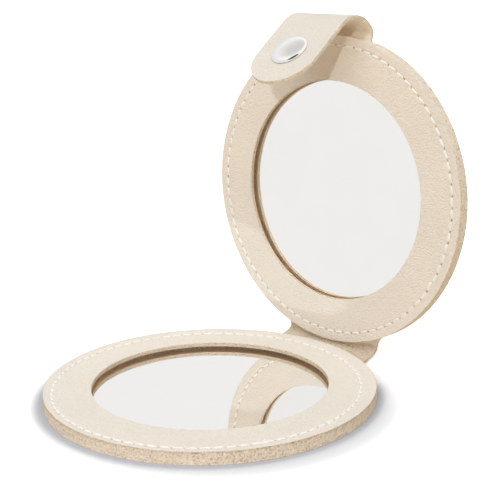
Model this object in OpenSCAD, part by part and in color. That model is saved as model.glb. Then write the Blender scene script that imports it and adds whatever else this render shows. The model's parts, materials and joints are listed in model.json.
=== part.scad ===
// Round leather compact mirror: a base and a lid, each a mirror held between a leather cover
// and a leather ring, joined by a creased leather spine and shut by a strap with a magnetic cap.
// Millimetres. The base lies flat on z = 0, the spine is at +Y and the lid stands up behind it.

/* [Discs] */
// Outside radius of the base and of the lid
disc_r = 39; // [34:0.5:46]
// Width of each front ring, between its edge and the window over the mirror
ring_w = 11.2; // [9:0.1:14]
// Thickness of the back covers
cover_t = 1.1; // [1:0.05:1.4]
// Thickness of the spacer rings, which leave room for the glass and its tape
core_t = 0.95; // [0.8:0.05:1.2]
// Thickness of the front rings
ring_t = 1; // [0.9:0.05:1.2]

/* [Mirrors] */
// How far the glass runs on under the front ring
mirror_lap = 2; // [1:0.1:3]
// Gap all round between the glass and the spacer ring
mirror_play = 0.2; // [0.1:0.05:0.4]
// Thickness of the adhesive disc behind the glass
tape_t = 0.1; // [0.05:0.05:0.2]
// How much smaller in radius the adhesive disc is than the glass
tape_inset = 1.5; // [0.5:0.1:4]

/* [Stitching] */
// Stitches round each half
stitch_count = 82; // [60:1:96]
// Distance from the lid's edge in to its stitch circle
lid_stitch_inset = 2.35; // [2.3:0.05:4]
// Distance from the base's edge in to its stitch circle, before the shift below
base_stitch_inset = 2.9; // [2.4:0.05:4]
// How far the base's stitch circle is shifted toward the front
base_stitch_shift = 1.15; // [0:0.05:1.3]
// Thickness of the thread
thread_d = 0.6; // [0.4:0.05:0.7]
// Length of one stitch as a share of its pitch
stitch_share = 0.64; // [0.5:0.01:0.75]
// How far the needle thread stands up out of the front ring
thread_proud = 0.12; // [0:0.02:0.15]
// Gap on each side of the thread in its groove
thread_play = 0.08; // [0.05:0.01:0.15]

/* [Spine] */
// Half of the neck's width at its waist
neck_half_w = 15.4; // [12:0.1:20]
// Thickness of the leather where it bends, in the spine and in the strap
flex_t = 1; // [0.8:0.05:1]
// Distance between the two creases of the spine
spine_len = 5.5; // [5.4:0.05:7]
// Distance from the base's edge to its crease
base_crease_gap = 0.5; // [0.5:0.05:1]
// Distance from the lid's edge to its crease
lid_crease_gap = 0.9; // [0.9:0.05:1.3]
// Gap between one leather panel and the next at a crease
crease_play = 0.1; // [0.08:0.01:0.2]
// Slope of the spine as it stands in the photo
spine_rise = 12.5; // [5:0.5:20]
// Slope of the lid as it stands in the photo
lid_rise = 88.2; // [80:0.1:100]
// Slope of the spine when the mirror is shut
shut_rise = 83; // [80:0.5:86]

/* [Strap] */
// Half of the strap's width, and the radius of its rounded tip
strap_half_w = 9.2; // [7:0.1:9.4]
// How much wider the strap is on each side where it leaves the cover
strap_flare = 0.6; // [0:0.05:0.8]
// Distance from the lid's edge in to the crease at the strap's root
root_inset = 1.25; // [1.2:0.01:1.3]
// Backward lean of the strap where it leaves the cover
strap_lean = 32; // [15:1:40]
// Middle radius of the tight bend behind the lid's edge
knuckle_r = 1.4; // [1:0.1:2.5]
// Middle radius of the arch over the lid's edge
arch_r = 7.8; // [7:0.1:9]
// Distance of the arch's centre in from the lid's edge
arch_inset = 3.2; // [2.5:0.1:4]
// Distance of the arch's centre forward from the lid's back
arch_fore = 6.2; // [5.8:0.1:6.6]
// Turn of the strap, from straight up, at the crease where its tip curls
curl_turn = 104.5; // [98:0.5:110]
// Turn of the strap's straight leg, from straight up, in the photo
leg_turn = 128.7; // [120:0.1:135]
// Straight run of the leg from the arch to the cap
leg_to_cap = 10.1; // [8:0.1:12]
// Distance from the cap to the centre of the rounded tip
cap_to_tip = 1.5; // [0:0.1:3]

/* [Fastener] */
// Radius of the domed cap
cap_r = 5; // [4.9:0.1:5.5]
// Height of the domed cap
cap_h = 1.4; // [1.3:0.1:1.8]
// Sheet thickness of the cap
cap_wall = 0.3; // [0.2:0.05:0.3]
// Radius of the cap's rolled edge
cap_edge_r = 0.35; // [0.3:0.05:0.4]
// Radius of the rivet's shank
shank_r = 1.1; // [0.9:0.05:1.2]
// Gap between the shank and the leather
shank_play = 0.1; // [0.05:0.05:0.2]
// Radius of the rivet's flange under the cap
flange_r = 3; // [2:0.1:3]
// Thickness of the rivet's flange
flange_t = 0.4; // [0.3:0.05:0.4]
// Radius of the rivet's closed end
head_r = 1.6; // [1.4:0.05:1.7]
// Thickness of the rivet's closed end
head_t = 0.4; // [0.3:0.05:0.6]
// Outside radius of the magnet's cup
cup_r = 4.7; // [4.2:0.1:5]
// Depth of the magnet's cup
cup_h = 1.5; // [1.3:0.1:1.5]
// Sheet thickness of the cup
cup_wall = 0.3; // [0.2:0.05:0.4]
// Gap round the magnet, inside and outside
magnet_play = 0.1; // [0.05:0.05:0.2]
// How far the magnet sits below the lip of its cup
magnet_drop = 0.1; // [0.05:0.05:0.2]
// Radius of the steel plate's face in the back of the base
plate_r = 4.4; // [4:0.1:4.6]
// Width of the plate's brim, which is held inside the cover
brim_w = 1.8; // [1:0.1:2]
// Thickness of the plate's brim
brim_t = 0.35; // [0.25:0.05:0.4]
// Gap between the plate and the leather
plate_play = 0.08; // [0.05:0.01:0.15]
// How far the plate's face is sunk in the back of the base
plate_drop = 0.12; // [0.05:0.01:0.2]

/* [Output] */
// Which node to draw

/* [Hidden] */
$fn = 96;
eps = cover_t;
leather_color = [0.87, 0.81, 0.73];
back_color = [0.84, 0.78, 0.69];
core_color = [0.74, 0.65, 0.55];
thread_color = [0.96, 0.93, 0.87];
mirror_color = [0.85, 0.88, 0.9];
tape_color = [0.8, 0.8, 0.78];
chrome_color = [0.78, 0.79, 0.81];
steel_color = [0.62, 0.63, 0.65];
magnet_color = [0.35, 0.35, 0.37];

disc_t = cover_t + core_t + ring_t;
window_r = disc_r - ring_w;
glass_r = window_r + mirror_lap;
lid_stitch_r = disc_r - lid_stitch_inset;
base_stitch_r = disc_r - base_stitch_inset;
thread_r = thread_d / 2;
needle_groove_d = thread_d - thread_proud;
stitch_turn = 360 / stitch_count * stitch_share;
flex_r = flex_t / 2;
cover_mid = cover_t / 2;
crease_reach = flex_r + crease_play;

base_crease_y = disc_r + base_crease_gap;
lid_crease_y = disc_r + lid_crease_gap;
neck_mid_y = (base_crease_y + spine_len + lid_crease_y) / 2;
neck_fillet_r = (neck_mid_y * neck_mid_y + neck_half_w * neck_half_w - disc_r * disc_r)
    / (2 * (disc_r - neck_half_w));
neck_fillet_x = neck_half_w + neck_fillet_r;
neck_meet_share = disc_r / (disc_r + neck_fillet_r);
neck_meet_x = neck_fillet_x * neck_meet_share;
neck_meet_y = neck_mid_y * neck_meet_share;
lid_hinge_y = base_crease_y + spine_len * cos(spine_rise);
lid_hinge_z = cover_mid + spine_len * sin(spine_rise);

root_y = disc_r - root_inset;
root_z = cover_mid;
root_half_w = strap_half_w + strap_flare;
arch_y = disc_r - arch_inset;
arch_z = arch_fore;
knuckle_from_y = root_y + knuckle_r * sin(strap_lean) - arch_y;
knuckle_from_z = root_z + knuckle_r * cos(strap_lean) - arch_z;
knuckle_along = knuckle_from_y * cos(strap_lean) - knuckle_from_z * sin(strap_lean);
knuckle_apart = pow(knuckle_from_y, 2) + pow(knuckle_from_z, 2);
lean_len = sqrt(pow(knuckle_along, 2) - knuckle_apart + pow(arch_r - knuckle_r, 2)) - knuckle_along;
knuckle_y = arch_y + knuckle_from_y + lean_len * cos(strap_lean);
knuckle_z = arch_z + knuckle_from_z - lean_len * sin(strap_lean);
knuckle_turn = atan2(knuckle_y - arch_y, arch_z - knuckle_z);
curl_y = arch_y + arch_r * sin(curl_turn);
curl_z = arch_z - arch_r * cos(curl_turn);
curl_reach_turn = asin(crease_reach / arch_r);
// The strap's curved stretches are a hair thicker and reach a hair into each other, so they join
seam = flex_t / 100;
seam_turn = 0.4;
arch_half_t = flex_r + seam;
knuckle_half_t = arch_half_t + seam;
leg_y = arch_y + arch_r * sin(leg_turn);
leg_z = arch_z - arch_r * cos(leg_turn);
cap_y = leg_y + leg_to_cap * cos(leg_turn);
cap_z = leg_z + leg_to_cap * sin(leg_turn);

cap_rim_r = cap_r - cap_edge_r;
cap_rise = cap_h - cap_wall / 2 - cap_edge_r;
cap_dome_r = (cap_rim_r * cap_rim_r + cap_rise * cap_rise) / (2 * cap_rise);
cap_dome_z = cap_edge_r + cap_rise - cap_dome_r;
magnet_r = cup_r - cup_wall - magnet_play;
magnet_hole_r = head_r + magnet_play;
magnet_t = cup_h - cup_wall - magnet_drop;

// Where the cap's magnet comes down on the base once the lid is shut and the tip is curled
shut_turn = 180 - leg_turn;
shut_cap_y = curl_y + (cap_y - curl_y) * cos(shut_turn) - (cap_z - curl_z) * sin(shut_turn);
shut_lid_y = base_crease_y + spine_len * cos(shut_rise) - lid_crease_y;
plate_y = shut_lid_y - shut_cap_y;

// Puts a piece drawn flat, with its hinge at -Y and its back on z = 0, where the lid stands
module on_lid() {
    translate([0, lid_hinge_y, lid_hinge_z])
    rotate([lid_rise, 0, 0])
    translate([0, lid_crease_y, -cover_mid])
    children();
}

// Puts a piece drawn round the cap's axis, with the strap's middle on z = 0, on the strap's leg
module on_leg() {
    on_lid()
    translate([0, cap_y, cap_z])
    rotate([leg_turn, 0, 0])
    children();
}

// Leather between one disc's edge and its crease, with the hollow sides of the neck
module neck(crease_y) {
    difference() {
        translate([-neck_meet_x, neck_meet_y])
        square([2 * neck_meet_x, crease_y - crease_reach - neck_meet_y]);
        for (side = [-1, 1])
            translate([side * neck_fillet_x, neck_mid_y])
            circle(r = neck_fillet_r);
    }
}

// Ring-shaped groove that the stitches of one side lie in
module stitch_groove(r, depth) {
    rotate_extrude()
    translate([r - thread_r - thread_play, -depth])
    square([thread_d + 2 * thread_play, depth + eps]);
}

// One round of stitches, each a short arc of thread round the disc
module stitches(r) {
    for (i = [0 : stitch_count - 1])
        rotate([0, 0, (i + 0.5) * 360 / stitch_count])
        rotate_extrude(angle = stitch_turn)
        translate([r, 0])
        circle(r = thread_r, $fn = 8);
}

// Draws a side view, given as (Y, Z), and gives it its width along X
module along_x(half_w) {
    translate([-half_w, 0, 0])
    rotate([90, 0, 90])
    linear_extrude(2 * half_w)
    children();
}

// Side view of a flat stretch of bending leather that starts with the round end at its crease
module panel_side(len) {
    circle(r = flex_r);
    translate([0, -flex_r])
    square([len, flex_t]);
}

// Side view of a curved stretch of the strap, between two directions of the strap
module arc_side(centre_y, centre_z, mid_r, half_t, from_turn, to_turn) {
    mid_turn = (from_turn + to_turn) / 2;
    translate([centre_y, centre_z])
    intersection() {
        difference() {
            circle(r = mid_r + half_t);
            circle(r = mid_r - half_t);
        }
        polygon([
            [0, 0],
            [2 * mid_r * sin(from_turn), -2 * mid_r * cos(from_turn)],
            [2 * mid_r * sin(mid_turn), -2 * mid_r * cos(mid_turn)],
            [2 * mid_r * sin(to_turn), -2 * mid_r * cos(to_turn)]
        ]);
    }
}

module base_cover() {
    color(back_color)
    difference() {
        linear_extrude(cover_t)
        union() {
            circle(r = disc_r);
            neck(base_crease_y);
        }
        translate([0, -base_stitch_shift, 0])
        mirror([0, 0, 1])
        stitch_groove(base_stitch_r, thread_d);
        translate([0, plate_y, -eps])
        cylinder(r = plate_r + plate_play, h = cover_t + 2 * eps);
        translate([0, plate_y, cover_t - brim_t])
        cylinder(r = plate_r + brim_w + plate_play, h = brim_t + eps);
    }
}

module lid_cover() {
    color(back_color)
    on_lid()
    difference() {
        linear_extrude(cover_t)
        union() {
            circle(r = disc_r);
            mirror([0, 1])
            neck(lid_crease_y);
        }
        mirror([0, 0, 1])
        stitch_groove(lid_stitch_r, thread_d);
        translate([-root_half_w - crease_play, root_y - crease_reach, -eps])
        cube([2 * (root_half_w + crease_play), 2 * root_inset, cover_t + 2 * eps]);
    }
}

module spacer() {
    color(core_color)
    translate([0, 0, cover_t])
    difference() {
        cylinder(r = disc_r, h = core_t);
        translate([0, 0, -eps])
        cylinder(r = glass_r + mirror_play, h = core_t + 2 * eps);
    }
}

module mirror_tape() {
    color(tape_color)
    translate([0, 0, cover_t])
    cylinder(r = glass_r - tape_inset, h = tape_t);
}

module mirror_glass() {
    color(mirror_color)
    translate([0, 0, cover_t + tape_t])
    cylinder(r = glass_r, h = core_t - tape_t);
}

module front_ring(stitch_r, stitch_y) {
    color(leather_color)
    translate([0, 0, cover_t + core_t])
    difference() {
        cylinder(r = disc_r, h = ring_t);
        translate([0, 0, -eps])
        cylinder(r = window_r, h = ring_t + 2 * eps);
        translate([0, stitch_y, ring_t])
        stitch_groove(stitch_r, needle_groove_d);
    }
}

module needle_thread(r) {
    color(thread_color)
    translate([0, 0, disc_t - needle_groove_d + thread_r])
    stitches(r);
}

module bobbin_thread(r) {
    color(thread_color)
    translate([0, 0, thread_r])
    stitches(r);
}

module base_spacer() {
    spacer();
}

module base_tape() {
    mirror_tape();
}

module base_mirror() {
    mirror_glass();
}

module base_ring() {
    front_ring(base_stitch_r, -base_stitch_shift);
}

module base_needle_thread() {
    translate([0, -base_stitch_shift, 0])
    needle_thread(base_stitch_r);
}

module base_bobbin_thread() {
    translate([0, -base_stitch_shift, 0])
    bobbin_thread(base_stitch_r);
}

module keeper_plate() {
    color(steel_color)
    translate([0, plate_y, 0])
    union() {
        translate([0, 0, plate_drop])
        cylinder(r = plate_r, h = cover_t - plate_drop);
        translate([0, 0, cover_t - brim_t])
        cylinder(r = plate_r + brim_w, h = brim_t);
    }
}

module lid_spacer() {
    on_lid()
    spacer();
}

module lid_tape() {
    on_lid()
    mirror_tape();
}

module lid_mirror() {
    on_lid()
    mirror_glass();
}

module lid_ring() {
    on_lid()
    front_ring(lid_stitch_r, 0);
}

module lid_needle_thread() {
    on_lid()
    needle_thread(lid_stitch_r);
}

module lid_bobbin_thread() {
    on_lid()
    bobbin_thread(lid_stitch_r);
}

module spine() {
    color(back_color)
    translate([0, base_crease_y, cover_mid])
    rotate([spine_rise, 0, 0])
    intersection() {
        along_x(neck_meet_x)
        union() {
            panel_side(spine_len);
            translate([spine_len, 0])
            circle(r = flex_r);
        }
        translate([0, -base_crease_y, -flex_t])
        linear_extrude(2 * flex_t)
        difference() {
            translate([-neck_meet_x, base_crease_y - flex_t])
            square([2 * neck_meet_x, spine_len + 2 * flex_t]);
            for (side = [-1, 1])
                translate([side * neck_fillet_x, neck_mid_y])
                circle(r = neck_fillet_r);
        }
    }
}

module strap_bend() {
    color(back_color)
    on_lid()
    intersection() {
        along_x(root_half_w)
        union() {
            translate([root_y, root_z])
            rotate(-strap_lean)
            panel_side(lean_len + 5 * seam);
            arc_side(knuckle_y, knuckle_z, knuckle_r, knuckle_half_t, -strap_lean, knuckle_turn);
            arc_side(arch_y, arch_z, arch_r, arch_half_t, knuckle_turn - seam_turn,
                curl_turn - curl_reach_turn);
        }
        translate([0, 0, -arch_r])
        linear_extrude(4 * arch_r)
        polygon([
            [-root_half_w, root_y - flex_t],
            [root_half_w, root_y - flex_t],
            [root_half_w, root_y],
            [strap_half_w, disc_r],
            [strap_half_w, disc_r + arch_r],
            [-strap_half_w, disc_r + arch_r],
            [-strap_half_w, disc_r],
            [-root_half_w, root_y]
        ]);
    }
}

module strap_tongue() {
    color(back_color)
    difference() {
        intersection() {
            on_lid()
            along_x(2 * strap_half_w)
            union() {
                translate([curl_y, curl_z])
                circle(r = flex_r);
                arc_side(arch_y, arch_z, arch_r, arch_half_t, curl_turn, leg_turn);
                translate([leg_y, leg_z])
                rotate(leg_turn)
                translate([-5 * seam, -flex_r])
                square([5 * seam + leg_to_cap + cap_to_tip + strap_half_w, flex_t]);
            }
            on_leg()
            translate([0, 0, -arch_r])
            linear_extrude(2 * arch_r)
            union() {
                translate([-strap_half_w, cap_to_tip - 3 * arch_r])
                square([2 * strap_half_w, 3 * arch_r]);
                translate([0, cap_to_tip])
                circle(r = strap_half_w);
            }
        }
        on_leg()
        translate([0, 0, -flex_t])
        cylinder(r = shank_r + shank_play, h = 2 * flex_t);
    }
}

module snap_cap() {
    color(chrome_color)
    on_leg()
    translate([0, 0, -flex_r])
    mirror([0, 0, 1])
    rotate_extrude()
    union() {
        intersection() {
            translate([0, cap_dome_z])
            difference() {
                circle(r = cap_dome_r + cap_wall / 2);
                circle(r = cap_dome_r - cap_wall / 2);
            }
            square([cap_rim_r, cap_h]);
        }
        translate([cap_rim_r, cap_edge_r])
        circle(r = cap_edge_r);
    }
}

module cap_rivet() {
    color(steel_color)
    on_leg()
    union() {
        translate([0, 0, -flex_r - flange_t])
        cylinder(r = flange_r, h = flange_t);
        translate([0, 0, -flex_r - flange_t])
        cylinder(r = shank_r, h = flange_t + flex_t + cup_wall + head_t);
        translate([0, 0, flex_r + cup_wall])
        cylinder(r = head_r, h = head_t);
    }
}

module magnet_cup() {
    color(steel_color)
    on_leg()
    translate([0, 0, flex_r])
    difference() {
        cylinder(r = cup_r, h = cup_h);
        translate([0, 0, cup_wall])
        cylinder(r = cup_r - cup_wall, h = cup_h);
        translate([0, 0, -eps])
        cylinder(r = shank_r + shank_play, h = cup_wall + 2 * eps);
    }
}

module magnet() {
    color(magnet_color)
    on_leg()
    translate([0, 0, flex_r + cup_wall])
    difference() {
        cylinder(r = magnet_r, h = magnet_t);
        translate([0, 0, -eps])
        cylinder(r = magnet_hole_r, h = magnet_t + 2 * eps);
    }
}

base_cover();
base_spacer();
base_tape();
base_mirror();
base_ring();
base_needle_thread();
base_bobbin_thread();
keeper_plate();
spine();
lid_cover();
lid_spacer();
lid_tape();
lid_mirror();
lid_ring();
lid_needle_thread();
lid_bobbin_thread();
strap_bend();
strap_tongue();
snap_cap();
cap_rivet();
magnet_cup();
magnet();
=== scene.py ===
import json
import random
from collections import namedtuple
from math import atan2, cos, exp, pi, radians, sin, sqrt

import bmesh
import bpy
from mathutils import Matrix, Vector, noise


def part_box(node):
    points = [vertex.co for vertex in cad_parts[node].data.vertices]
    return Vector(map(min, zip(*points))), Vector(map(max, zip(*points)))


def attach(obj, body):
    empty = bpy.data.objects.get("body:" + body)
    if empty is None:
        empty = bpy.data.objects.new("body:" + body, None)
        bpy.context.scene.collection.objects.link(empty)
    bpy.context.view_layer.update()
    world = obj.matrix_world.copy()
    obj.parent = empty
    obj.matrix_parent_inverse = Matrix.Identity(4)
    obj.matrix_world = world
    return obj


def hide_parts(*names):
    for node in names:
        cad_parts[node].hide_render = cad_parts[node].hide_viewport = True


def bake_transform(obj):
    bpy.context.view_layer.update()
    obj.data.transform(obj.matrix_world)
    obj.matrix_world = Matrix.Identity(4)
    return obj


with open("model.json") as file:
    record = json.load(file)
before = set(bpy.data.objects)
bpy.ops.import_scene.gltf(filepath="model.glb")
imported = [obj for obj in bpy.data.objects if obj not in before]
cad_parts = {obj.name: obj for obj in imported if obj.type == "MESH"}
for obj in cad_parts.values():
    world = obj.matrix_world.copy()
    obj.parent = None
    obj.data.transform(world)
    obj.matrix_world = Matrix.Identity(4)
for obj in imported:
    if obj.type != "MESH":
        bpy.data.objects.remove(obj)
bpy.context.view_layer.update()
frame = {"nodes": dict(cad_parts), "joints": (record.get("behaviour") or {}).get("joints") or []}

# Lengths are in millimetres and turned into metres where a mesh is made
MM = 0.001
TURN = 2 * pi
SHARP_ANGLE = radians(50)

# Sizes that come from the frame
JOINT_AT = {j["name"]: Vector(j["pos_m"]) / MM for j in frame["joints"]}
BASE_CREASE, LID_CREASE = JOINT_AT["base_crease"], JOINT_AT["lid_crease"]
DISC_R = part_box("base_ring")[1].x / MM
GLASS_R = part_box("base_mirror")[1].x / MM
COVER_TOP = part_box("base_spacer")[0].z / MM
GLASS_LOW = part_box("base_mirror")[0].z / MM
CORE_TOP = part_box("base_ring")[0].z / MM
DISC_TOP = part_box("base_ring")[1].z / MM
COVER_MID = COVER_TOP / 2
PLATE_LOW, PLATE_HIGH = (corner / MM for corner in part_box("keeper_plate"))

# The discs
MIRROR_LAP = 2
WINDOW_R = GLASS_R - MIRROR_LAP
SEAT_R = GLASS_R + 0.2
CORNER_R = 0.1
CORNER_STEP = CORNER_R + 0.06
PLY_CORNER_R = 0.03
OUTLINE_WAVER = 0.05
WAVER_TURNS = 2.2
BOARD_INSET = 0.03
FLESH_SHOWN = 0.6
WINDOW_RIM_PALE = 0.5
FACE_LOOP_RADII = (33.2, 31.6, 30.0, 28.6)
COVER_LOOP_INSET = 3
GLASS_CLEARANCE = 0.02
GLASS_CORNER = 0.08
GLASS_STEPS = 160
SILVER_T = 0.03
SILVER_INSET = 0.3
SILVER_CORNER = 0.01
FILM_SCALE = 120.0

# The lid's place and its crease
LID_RISE = radians(88.2)
SPINE_RISE = radians(12.5)
LID_CREASE_Y = DISC_R + 0.9
LID_PLACE = (
    Matrix.Translation(LID_CREASE)
    @ Matrix.Rotation(LID_RISE, 4, "X")
    @ Matrix.Translation((0, LID_CREASE_Y, -COVER_MID))
)
BASE_PLACE = Matrix.Identity(4)

# The neck, in its flat pattern
NECK_HALF_W = 14.3
BASE_FILLET_R = 9.7
LID_FILLET_R = 4.0
SPINE_LEN = (LID_CREASE - BASE_CREASE).length
CREASE_REACH = 1.3
LID_BEND = 1.6
BASE_CUT = CREASE_REACH + 0.1
LID_CUT = LID_BEND + 0.15
FLEX_T = 1.0
BASE_NECK_STEP = 0.14
LID_NECK_STEP = 0.12
WRINKLE_RISE = 1.2
NECK_WAVE = 0.10
NECK_CREASE = 0.16

# Stitching
STITCH_COUNT = 82
PITCH = TURN / STITCH_COUNT
HOLE_PHASE = 0.32
SEAM_STEPS = (0.10, 0.20, 0.30, 0.42, 0.55, 0.75, 1.0)
SEAM_OFFSETS = [-step for step in reversed(SEAM_STEPS)] + [0.0, *SEAM_STEPS]
HOLE_SLANT = 0.45
HOLE_LONG, HOLE_WIDE, HOLE_DEEP = 0.36, 0.17, 0.26
HOLE_OPEN_LEAST = 0.62
GROOVE_WIDE, GROOVE_DEEP = 0.42, 0.09
PULL_WIDE, PULL_DEEP = 0.6, 0.07
POINTS_PER_STITCH = 14
AROUND = STITCH_COUNT * POINTS_PER_STITCH
THREAD_R = 0.3
THREAD_SPREAD = 1.15
THREAD_SIDES = 10
THREAD_LOBE = 0.07
THREAD_TWIST = 0.75
THREAD_TAPER = 0.18
THREAD_PROUD = 0.14
BACK_PROUD = -0.07
STITCH_STEPS = 14
STITCH_REACH = 0.42
STITCH_RISE = 0.03
STITCH_DIVE = 0.62
STITCH_FLAT_SHARE = 0.60
# The ranges of a stitch's lean, lift, sway and slack, in the order in which they are drawn
STITCH_LUCK = ((0.077, 0.143), (-0.03, 0.02), (0.0, 0.1), (0.08, 0.20))

# The strap, in the lid's own place
STRAP_HALF_W = 9.2
STRAP_FLARE = 0.6
FLARE_REACH = 0.8
ROOT_Y = DISC_R - 1.25
ROOT_LEN = 0.25
ROOT_REACH = 1.15
STRAP_CUT_Y = DISC_R - 1.85
STRAP_LEAN = radians(32)
STRAP_SPLIT = 2.2
KNUCKLE_R = 1.4
ARCH_R = 7.8
ARCH_Y = DISC_R - 3.2
ARCH_Z = 6.2
ARCH_TAIL = 1.2
CURL_TURN = radians(104.5)
CURL_BEND = 0.38
LEG_TURN = radians(128.7)
LEG_TO_CAP = 10.1
CAP_TO_TIP = 1.5
LEG_Y = ARCH_Y + ARCH_R * sin(LEG_TURN)
LEG_Z = ARCH_Z - ARCH_R * cos(LEG_TURN)
CAP_Y = LEG_Y + LEG_TO_CAP * cos(LEG_TURN)
CAP_Z = LEG_Z + LEG_TO_CAP * sin(LEG_TURN)
LEG_PLACE = LID_PLACE @ Matrix.Translation((0, CAP_Y, CAP_Z)) @ Matrix.Rotation(LEG_TURN, 4, "X")
STRIP_COLUMNS = 36

# The fastener
CAP_R = 4.7
CAP_H = 1.4
CAP_BASE = 0.2
FLANGE_R = 3.0
FLANGE_T = 0.4
FLANGE_PLAY = 0.04
SHANK_R = 1.1
SHANK_PLAY = 0.1
HEAD_R = 1.6
HEAD_T = 0.4
CUP_R = 4.7
CUP_H = 1.5
CUP_WALL = 0.3
MAGNET_PLAY = 0.1
MAGNET_DROP = 0.1
PLATE_R = 4.4
PLATE_PLAY = 0.08
PLATE_PLACE = Matrix.Translation((0, (PLATE_LOW.y + PLATE_HIGH.y) / 2, 0))
BRIM_R = (PLATE_HIGH.x - PLATE_LOW.x) / 2
BRIM_T = 0.35
POCKET_ROOF = 0.3
CUT_OVERRUN = 1
PLATE_STEPS = 96

# Colours, as linear values
WHITE = (1.0, 1.0, 1.0)
RING_COLOR = (0.835, 0.745, 0.617)
COVER_COLOR = (0.745, 0.675, 0.56)
LINING_COLOR = (0.90, 0.79, 0.64)
# Painted shade: the neck's leather is tinted warmer than the cover's, for the warm shade in its fold
NECK_WARM_SHADE_COLOR = (0.85, 0.69, 0.50)
EDGE_COLOR = (0.72, 0.605, 0.445)
# Painted light: the lid's cut edges are a lighter copy of the base's, for how the light falls on them
LID_EDGE_LIGHT_SHARE = 1.2
EDGE_PALE = (0.865, 0.78, 0.649)
EDGE_DARK = (0.36, 0.25, 0.15)
BOARD_COLOR = (0.75, 0.625, 0.485)
FLESH_COLOR = (0.76, 0.51, 0.30)
# Painted light: the flesh side under the ring glows faintly, for the light that reaches the gap over the
# glass
FLESH_PAINTED_GLOW = (0.045, 0.027, 0.012)
# Painted light: the window's cut wall has its own lighter edge colour, standing in for the light that the
# mirror throws on it
WINDOW_EDGE_MIRROR_LIT_COLOR = (0.86, 0.66, 0.44)
WINDOW_EDGE_MIRROR_LIT_PALE = (0.815, 0.689, 0.521)
# Painted shade inside the needle holes, where little light reaches
HOLE_SHADE_COLOR = (0.28, 0.18, 0.10)
THREAD_COLOR = (0.94, 0.885, 0.79)
GLASS_FILM = (0.985, 0.99, 0.985)
SILVER_COLOR = (0.975, 0.968, 0.958)
TAPE_COLOR = (0.70, 0.70, 0.67)
CHROME_COLOR = (0.90, 0.895, 0.885)
STEEL_COLOR = (0.50, 0.50, 0.51)
MAGNET_COLOR = (0.22, 0.22, 0.23)
FLOOR_COLOR = (0.96, 0.93, 0.875)
FLOOR_GLOW = (0.76, 0.62, 0.475)

# Camera, lamps, sky and floor
CAMERA_AT = (188.346, -179.935, 104.378)
AIM_AT = (-0.096, 14.215, 32.30)
CAMERA_ROLL = radians(-0.91)
LENS = 84.92
SUN_COLOR = (0.94, 1.0, 1.10)
SUNS = {
    "key": ((0.62, -1.0, 0.38), radians(1.5), 0.76),
    "top": ((0.20, -0.40, 1.0), radians(60), 2.05),
    "back": ((-0.4, 1.0, 0.5), radians(80), 0.55),
}
SKY_STRENGTH = 0.33
SKY_COLOR = (1.0, 0.985, 0.955)
LOW_SKY_COLOR = (1.04, 0.89, 0.74)
MIRRORED_SKY = (0.888, 0.883, 0.876)
MIRRORED_TOP = (1.12, 1.12, 1.12)
GREY_CARD = (0.74, 0.725, 0.695)
GREY_CARD_FROM = (-0.34, -0.02, 0.93)
DARK_CARD = (0.10, 0.09, 0.08)
DARK_CARD_FROM = (0.3, -0.74, 0.6)
PATCH_TOWARD = (-0.547, 0.782, 0.297)
PATCH_AT = (-12.9, 21.1, 11.0)
PATCH_POWER = 0.00036
PATCH_COLOR = (0.84, 1.0, 1.22)
FLOOR_HALF = 3000
FLOOR_LIFT = 0.48
# The floor's painted contact shadow and its painted soft shadow disc
CONTACT_SHADOW_COLOR = (0.48, 0.48, 0.50)
CONTACT_REACH = 14
CONTACT_TILT = (-0.55, -0.15, 0.80)
CONTACT_END_Y = (26, 38)
SHADE_AT = (5.0, -0.5)
SHADE_REACH = (36, 46)
SHADE_SHARE = 0.5

# A loop round a disc. Its radius is a number or a function of the angle. side is 1 on a stitched face
# that looks up and -1 on one that looks down, and across is then the loop's distance from the seam
Loop = namedtuple("Loop", "radius height pale side across", defaults=(0.0, 0, 0.0))

# A cross-section of a bent strip: half its width, the y, z and turn of its middle, the distance
# along the strip, the thickness there and how much of the wrinkles shows
Station = namedtuple("Station", "half_w y z turn along thick loose")

# One of the two discs. Its back is drawn with the neck on +Y, and chord_y is where the strap begins. rim is
# how pale the top of its outer edge is: the base's darker rim is painted shade and the lid's paler rim
# painted light
Disc = namedtuple(
    "Disc",
    "body place back_place seed rim stitch_r shift cut_y chord_y fillet_r end_stitch end_path",
)
DISCS = (
    Disc(
        body="base", place=BASE_PLACE, back_place=BASE_PLACE, seed=1.0, rim=-0.8,
        stitch_r=DISC_R - 2.9, shift=-1.15,
        cut_y=BASE_CREASE.y - BASE_CUT, chord_y=0, fillet_r=BASE_FILLET_R,
        end_stitch=76, end_path=(
            (0.10, -0.30, -0.45), (0.02, -0.12, -0.10), (-0.16, 0.16, -0.07),
            (-0.50, 0.42, -0.09), (-0.95, 0.52, -0.10),
        ),
    ),
    Disc(
        body="lid", place=LID_PLACE, back_place=LID_PLACE @ Matrix.Rotation(pi, 4, "Z"), seed=4.0, rim=0.4,
        stitch_r=DISC_R - 2.35, shift=0.0,
        cut_y=LID_CREASE_Y - LID_CUT, chord_y=STRAP_CUT_Y, fillet_r=LID_FILLET_R,
        end_stitch=75, end_path=(
            (-0.05, 0.05, -0.45), (-0.20, -0.12, -0.10), (-0.42, -0.45, -0.07),
            (-0.50, -0.80, -0.08), (-0.46, -1.05, -0.12),
        ),
    ),
)


def scaled(color, share):
    return tuple(channel * share for channel in color)


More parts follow.
